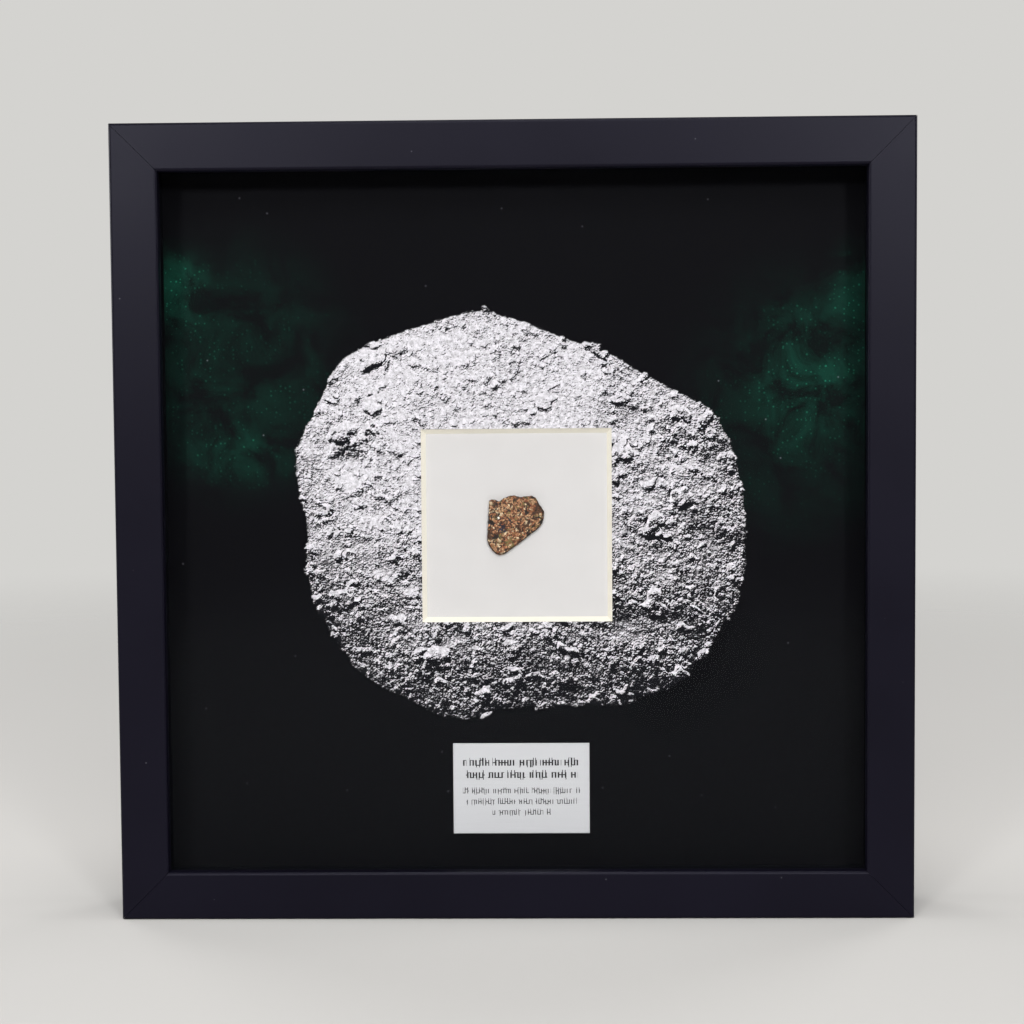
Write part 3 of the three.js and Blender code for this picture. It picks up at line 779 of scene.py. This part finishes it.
def paper_board(name, colour, tooth_mm, depth_mm):
    """Pressed paper board, with the felt side's fine tooth and a few darker fibres. Matte."""
    material, tree, shader, where = new_material(name, Roughness=0.9, IOR=1.42)
    tooth = add(tree, "ShaderNodeTexNoise", {
        "Vector": where, "Scale": 1 / (tooth_mm * MM), "Detail": 4.0,
    })
    cloud = add(tree, "ShaderNodeTexNoise", {
        "Vector": where, "Scale": 1 / (9 * MM), "Detail": 2.0,
    })
    tone = add(tree, "ShaderNodeMapRange", {0: tooth, 1: 0.25, 2: 0.75, 3: 0.965, 4: 1.02})
    drift = add(tree, "ShaderNodeMapRange", {0: cloud, 1: 0.3, 2: 0.7, 3: 0.985, 4: 1.01})
    both = add(tree, "ShaderNodeMath", {0: tone, 1: drift}, operation="MULTIPLY")
    shade = add(tree, "ShaderNodeVectorMath", {0: colour, 3: both}, operation="SCALE")
    bump = add(tree, "ShaderNodeBump", {
        "Strength": 0.3, "Distance": depth_mm * MM, "Height": tooth,
    })
    link_up(tree, shader, Base_Color=shade, Normal=bump)
    return material


class SPECIMEN_OT_boards(bpy.types.Operator):
    """Finish the bevelled mount and the white board behind it"""

    bl_idname = "specimen.boards"
    bl_label = "Mount and backing board"

    def execute(self, context):
        settings = context.scene.specimen_frame
        coat(paper_board("cream mount board", settings.core, 0.3, 0.02), "window_mat")
        coat(paper_board("white foamboard", settings.board, 0.45, 0.02), "backing_board")
        return {"FINISHED"}


ROWS = (  # height of the row over the label's middle, height of its marks, width, and stroke
    (8.4, 1.85, 37.6, 0.51), (4.4, 1.85, 36.4, 0.51), (-0.8, 1.4, 37.8, 0.26),
    (-4.3, 1.4, 35.6, 0.26), (-7.8, 1.4, 18.8, 0.26),
)
WORD = 7.0  # usual length of a group of marks, in mm
WORD_GAP = 0.5  # half the space between two groups, in mm
STEM_SPACING = 0.55  # usual distance between upright strokes, as a share of their height
ROW_APART = 61.0  # so that each row reads another stretch of the same pattern


def row_of_marks():
    """A node group that gives the ink of one row of marks, 0 or 1, at a place on the label.

    Upright strokes stand at uneven steps, some with a taller top or a tail. A short level
    stroke at the foot, the middle or the top joins some neighbours. They spell nothing.
    """
    tree = bpy.data.node_groups.new("row of marks", "ShaderNodeTree")
    for name in ("Across", "Up", "Tall", "Wide", "Stroke", "Start", "Density"):
        tree.interface.new_socket(name, in_out="INPUT", socket_type="NodeSocketFloat")
    tree.interface.new_socket("Ink", in_out="OUTPUT", socket_type="NodeSocketFloat")
    given = add(tree, "NodeGroupInput").node
    across, up, tall, wide, stroke, start, density = given.outputs[:7]
    along = add(tree, "ShaderNodeMath", {0: across, 1: start}, operation="ADD")
    aside = add(tree, "ShaderNodeMath", {0: across}, operation="ABSOLUTE")
    half = add(tree, "ShaderNodeMath", {0: wide, 1: 0.5}, operation="MULTIPLY")
    in_row = add(tree, "ShaderNodeMath", {0: aside, 1: half}, operation="LESS_THAN")
    ends = add(tree, "ShaderNodeTexVoronoi", {
        "W": along, "Scale": 1 / WORD, "Randomness": 0.8,
    }, voronoi_dimensions="1D", feature="DISTANCE_TO_EDGE")
    in_word = add(tree, "ShaderNodeMath", {0: ends, 1: WORD_GAP / WORD},
                  operation="GREATER_THAN")
    step = {"W": along, "Scale": density, "Randomness": 0.6}
    cell = add(tree, "ShaderNodeTexVoronoi", step, voronoi_dimensions="1D").node
    lot = add(tree, "ShaderNodeSeparateColor", {0: cell.outputs["Color"]}).node.outputs
    edge = add(tree, "ShaderNodeTexVoronoi", step, voronoi_dimensions="1D",
               feature="DISTANCE_TO_EDGE")
    thick = add(tree, "ShaderNodeMath", {0: stroke, 1: density}, operation="MULTIPLY")
    thick = add(tree, "ShaderNodeMath", {0: thick, 1: 0.5}, operation="MULTIPLY")
    stem = add(tree, "ShaderNodeMath", {0: edge, 1: thick}, operation="LESS_THAN")
    level = add(tree, "ShaderNodeMath", {0: lot[0], 1: 4.4}, operation="MULTIPLY")
    level = add(tree, "ShaderNodeMath", {0: level}, operation="FLOOR")
    level = add(tree, "ShaderNodeMath", {0: level, 1: 0.45, 2: -0.87}, operation="MULTIPLY_ADD")
    share = add(tree, "ShaderNodeMath", {0: up, 1: tall}, operation="DIVIDE")
    off = add(tree, "ShaderNodeMath", {0: share, 1: level}, operation="SUBTRACT")
    off = add(tree, "ShaderNodeMath", {0: off}, operation="ABSOLUTE")
    bar = add(tree, "ShaderNodeMath", {0: off, 1: 0.09}, operation="LESS_THAN")
    line = add(tree, "ShaderNodeMath", {0: stem, 1: bar}, operation="MAXIMUM")
    parts = [in_row, in_word]
    for draw, rarity, extra, usual, side in (
        (lot[1], 0.72, 0.38, 0.5, "LESS_THAN"), (lot[2], 0.88, -0.3, -0.5, "GREATER_THAN"),
    ):
        longer = add(tree, "ShaderNodeMath", {0: draw, 1: rarity}, operation="GREATER_THAN")
        end = add(tree, "ShaderNodeMath", {0: longer, 1: extra, 2: usual},
                  operation="MULTIPLY_ADD")
        parts.append(add(tree, "ShaderNodeMath", {0: share, 1: end}, operation=side))
    for part in parts:
        line = add(tree, "ShaderNodeMath", {0: line, 1: part}, operation="MULTIPLY")
    add(tree, "NodeGroupOutput", {0: line})
    return tree


def engraving_laminate(settings):
    """Two-layer engraving laminate: a satin silver-grey cap over a dark core.

    The eye gets a pale grey with a very fine brushed grain from side to side, and rows of
    small dark marks.
    """
    material, tree, shader, where = new_material("satin grey laminate", IOR=1.49)
    flat = add(tree, "ShaderNodeMapping", {
        "Vector": where, "Location": tuple(-LABEL_MIDDLE / MM), "Scale": (1 / MM,) * 3,
    })
    parts = add(tree, "ShaderNodeSeparateXYZ", {0: flat}).node.outputs
    drawn = add(tree, "ShaderNodeMapping", {"Vector": flat, "Scale": (0.05, 1.0, 9.0)})
    brushed = add(tree, "ShaderNodeTexNoise", {"Vector": drawn, "Scale": 1.0, "Detail": 3.0})
    grey = shaded(tree, settings.plate, brushed, 0.95, 1.03)
    marks = row_of_marks()
    ink = 0.0
    for row, (up, tall, wide, stroke) in enumerate(ROWS):
        from_row = add(tree, "ShaderNodeMath", {0: parts[2], 1: up}, operation="SUBTRACT")
        given = (parts[0], from_row, tall, wide, stroke, ROW_APART * row,
                 1 / (STEM_SPACING * tall))
        here = add(tree, "ShaderNodeGroup", dict(enumerate(given)), node_tree=marks)
        ink = add(tree, "ShaderNodeMath", {0: here, 1: ink}, operation="MAXIMUM")
    colour = add(tree, "ShaderNodeMix", {0: ink, 6: grey, 7: opaque(settings.ink)}, out=2,
                 data_type="RGBA")
    shine = add(tree, "ShaderNodeMapRange", {0: brushed, 1: 0.3, 2: 0.7, 3: 0.36, 4: 0.46})
    bump = add(tree, "ShaderNodeBump", {
        "Strength": 0.12, "Distance": 0.01 * MM, "Height": brushed,
    })
    link_up(tree, shader, Base_Color=colour, Roughness=shine, Normal=bump)
    return material


class SPECIMEN_OT_label(bpy.types.Operator):
    """Finish the small label under the window"""

    bl_idname = "specimen.label"
    bl_label = "Label"

    def execute(self, context):
        coat(engraving_laminate(context.scene.specimen_frame), "label_plate")
        return {"FINISHED"}


def tempered_hardboard(settings):
    """Hardboard: wood fibre pressed hot. The eye gets warm brown with short fibres in it."""
    material, tree, shader, where = new_material("tempered hardboard", IOR=1.45)
    fibre_at = add(tree, "ShaderNodeMapping", {"Vector": where, "Scale": (1.0, 1.0, 0.35)})
    fibre = add(tree, "ShaderNodeTexNoise", {
        "Vector": fibre_at, "Scale": 1 / (0.7 * MM), "Detail": 5.0, "Roughness": 0.65,
        "Distortion": 0.8,
    })
    cloud = add(tree, "ShaderNodeTexNoise", {
        "Vector": where, "Scale": 1 / (22 * MM), "Detail": 3.0,
    })
    colour = shaded(tree, settings.hardboard, fibre, 0.66, 1.3)
    colour = shaded(tree, colour, cloud, 0.93, 1.06)
    shine = add(tree, "ShaderNodeMapRange", {0: fibre, 1: 0.3, 2: 0.7, 3: 0.55, 4: 0.8})
    bump = add(tree, "ShaderNodeBump", {
        "Strength": 0.35, "Distance": 0.06 * MM, "Height": fibre,
    })
    link_up(tree, shader, Base_Color=colour, Roughness=shine, Normal=bump)
    return material


def rolled_metal(name, code, grain_mm):
    """Thin sheet metal as it leaves the roll: fine scratches one way, and dull blotches."""
    material, tree, shader, where = new_material(name, Metallic=1.0)
    drawn = add(tree, "ShaderNodeMapping", {"Vector": where, "Scale": (0.08, 1.0, 1.0)})
    scratches = add(tree, "ShaderNodeTexNoise", {
        "Vector": drawn, "Scale": 1 / (grain_mm * MM), "Detail": 4.0,
    })
    blotches = add(tree, "ShaderNodeTexNoise", {
        "Vector": where, "Scale": 1 / (3 * MM), "Detail": 3.0,
    })
    colour = shaded(tree, linear(code), blotches, 0.78, 1.08)
    shine = add(tree, "ShaderNodeMapRange", {0: blotches, 1: 0.3, 2: 0.7, 3: 0.3, 4: 0.48})
    bump = add(tree, "ShaderNodeBump", {
        "Strength": 0.15, "Distance": 0.01 * MM, "Height": scratches,
    })
    link_up(tree, shader, Base_Color=colour, Roughness=shine, Normal=bump)
    return material


class SPECIMEN_OT_back(bpy.types.Operator):
    """Finish the back panel, its tabs and the hanger"""

    bl_idname = "specimen.back"
    bl_label = "Back"

    def execute(self, context):
        coat(tempered_hardboard(context.scene.specimen_frame), "back_panel")
        steel = rolled_metal("blued spring steel", "#8d9094", 0.12)
        coat(steel, *(f"turn_tab_{k + 1}" for k in range(8)))
        coat(rolled_metal("zinc-plated steel", "#b6b8ba", 0.2),
             "hanger_rivet_left", "hanger_rivet_right")
        coat(rolled_metal("brass-plated steel", "#b8994f", 0.15), "hanger_plate")
        return {"FINISHED"}


PHOTO_SIDE = 1024  # of the square photo, in pixels
SHIFT_ACROSS, SHIFT_UP = -1.8, 11.5  # in those pixels, to frame the view as the photo does
FLOOR_HALF_WIDTH = 4.0
FADE_START, FADE_END = 0.25, 1.5  # the floor melts into the backdrop between these distances
AIM = Vector((0.0, 0.0, 0.13))
LIGHTS = (  # name, turn to the right, height in degrees, distance and diameter in m, power in W
    ("upper left", -20, 17, 1.5, 0.2, 6.8),
    ("upper right", 20, 17, 1.5, 0.2, 7.6),
    ("overhead front", 0, 38, 1.5, 0.7, 8.6),
    ("overhead", 0, 80, 1.6, 0.6, 9.0),
    ("left side", -90, 12, 1.5, 0.35, 10.0),
    ("right side", 90, 18, 1.5, 0.6, 7.0),
    ("behind left", -137, 30, 1.6, 0.8, 6.0),
    ("behind right", 137, 30, 1.6, 0.8, 6.0),
)


def floor_sheet():
    """The floor: x and y each run evenly over a square, at the height that the frame stands on."""
    steps = np.linspace(-FLOOR_HALF_WIDTH, FLOOR_HALF_WIDTH, 9)
    x, y = np.meshgrid(steps, steps)
    points = np.stack([x, y, np.full_like(x, LOW.z)], axis=-1)
    here = np.arange(x.size).reshape(x.shape)
    quads = np.stack([here[:-1, :-1], here[:-1, 1:], here[1:, 1:], here[1:, :-1]], axis=-1)
    return points.reshape(-1, 3), quads.reshape(-1, 4)


def backdrop_paper(settings):
    """Matte paper on the floor. Far from the frame it melts into the even backdrop."""
    material, tree, shader, where = new_material("matte backdrop paper", Roughness=0.95)
    shader.inputs["Base Color"].default_value = opaque(settings.floor)
    away = add(tree, "ShaderNodeVectorMath", {0: where}, out=1, operation="LENGTH")
    shown = add(tree, "ShaderNodeMapRange", {
        0: away, 1: FADE_START, 2: FADE_END, 3: 1.0, 4: 0.0,
    }, interpolation_type="SMOOTHSTEP")
    link_up(tree, shader, Alpha=shown)
    return material


class SPECIMEN_OT_stage(bpy.types.Operator):
    """Make the floor, the lights and the camera"""

    bl_idname = "specimen.stage"
    bl_label = "Stage"

    def execute(self, context):
        scene = context.scene
        settings = scene.specimen_stage
        points, quads = floor_sheet()
        mesh = bpy.data.meshes.new("floor")
        mesh.from_pydata(points.tolist(), [], quads.tolist())
        floor = bpy.data.objects.new("floor", mesh)
        scene.collection.objects.link(floor)
        mesh.materials.append(backdrop_paper(settings))
        for name, turn, height, distance, diameter, power in LIGHTS:
            lamp = bpy.data.lights.new(name, "AREA")
            lamp.shape = "DISK"
            lamp.size = diameter
            lamp.energy = power
            light = bpy.data.objects.new(name, lamp)
            turn, height = math.radians(turn), math.radians(height)
            away = Vector((math.sin(turn) * math.cos(height),
                           -math.cos(turn) * math.cos(height), math.sin(height)))
            light.location = AIM + away * distance
            light.rotation_euler = away.to_track_quat("Z", "Y").to_euler()
            scene.collection.objects.link(light)
        world = bpy.data.worlds.new("studio")
        world.use_nodes = True
        tree = world.node_tree
        tree.nodes.clear()
        seen = add(tree, "ShaderNodeLightPath")
        soft = add(tree, "ShaderNodeBackground", {0: opaque(linear("#ffffff")), 1: 0.1})
        pale = add(tree, "ShaderNodeBackground", {0: opaque(settings.backdrop), 1: 1.0})
        mixed = add(tree, "ShaderNodeMixShader", {0: seen, 1: soft, 2: pale})
        add(tree, "ShaderNodeOutputWorld", {"Surface": mixed})
        scene.world = world
        scene.view_settings.view_transform = "Standard"
        target = Vector((MIDDLE.x, LOW.y, MIDDLE.z))
        yaw, pitch = settings.yaw, settings.pitch
        back = Vector((math.sin(yaw) * math.cos(pitch), -math.cos(yaw) * math.cos(pitch),
                       math.sin(pitch)))
        right = Vector((0, 0, 1)).cross(back).normalized()
        up = back.cross(right)
        turn = Matrix.Rotation(settings.roll, 3, back)
        axes = Matrix((turn @ right, turn @ up, back)).transposed()
        lens = bpy.data.cameras.new("camera")
        lens.lens = settings.lens
        lens.shift_x = SHIFT_ACROSS / PHOTO_SIDE
        lens.shift_y = SHIFT_UP / PHOTO_SIDE
        lens.clip_start = 0.01
        camera = bpy.data.objects.new("camera", lens)
        camera.matrix_world = Matrix.Translation(target + back * settings.distance) @ \
            axes.to_4x4()
        scene.collection.objects.link(camera)
        scene.camera = camera
        return {"FINISHED"}


class SPECIMEN_PT_panel(bpy.types.Panel):
    """Lists the steps that make the specimen, and their settings"""

    bl_label = "Framed specimen"
    bl_idname = "SPECIMEN_PT_panel"
    bl_space_type = "VIEW_3D"
    bl_region_type = "UI"
    bl_category = "Specimen"

    def draw(self, context):
        for operator, group in STEPS:
            box = self.layout.box()
            box.operator(operator.bl_idname)
            if group:
                settings = getattr(context.scene, group)
                for name in settings.bl_rna.properties.keys():
                    if name not in {"rna_type", "name"}:
                        box.prop(settings, name)


STEPS = (
    (SPECIMEN_OT_stage, "specimen_stage"),
    (SPECIMEN_OT_rails, "specimen_frame"),
    (SPECIMEN_OT_glazing, None),
    (SPECIMEN_OT_print, "specimen_print"),
    (SPECIMEN_OT_boards, None),
    (SPECIMEN_OT_slice, "specimen_slice"),
    (SPECIMEN_OT_label, None),
    (SPECIMEN_OT_back, None),
)
GROUPS = {
    "specimen_slice": SliceSettings,
    "specimen_print": PrintSettings,
    "specimen_frame": FrameSettings,
    "specimen_stage": StageSettings,
}
CLASSES = (*GROUPS.values(), *(operator for operator, _ in STEPS), SPECIMEN_PT_panel)


def register():
    for cls in CLASSES:
        bpy.utils.register_class(cls)
    for name, group in GROUPS.items():
        setattr(bpy.types.Scene, name, PointerProperty(type=group))


def unregister():
    for name in GROUPS:
        delattr(bpy.types.Scene, name)
    for cls in reversed(CLASSES):
        bpy.utils.unregister_class(cls)


def main():
    """Run every step in order."""
    register()
    for operator, _ in STEPS:
        group, name = operator.bl_idname.split(".")
        getattr(getattr(bpy.ops, group), name)()


if __name__ == "__main__":
    main()
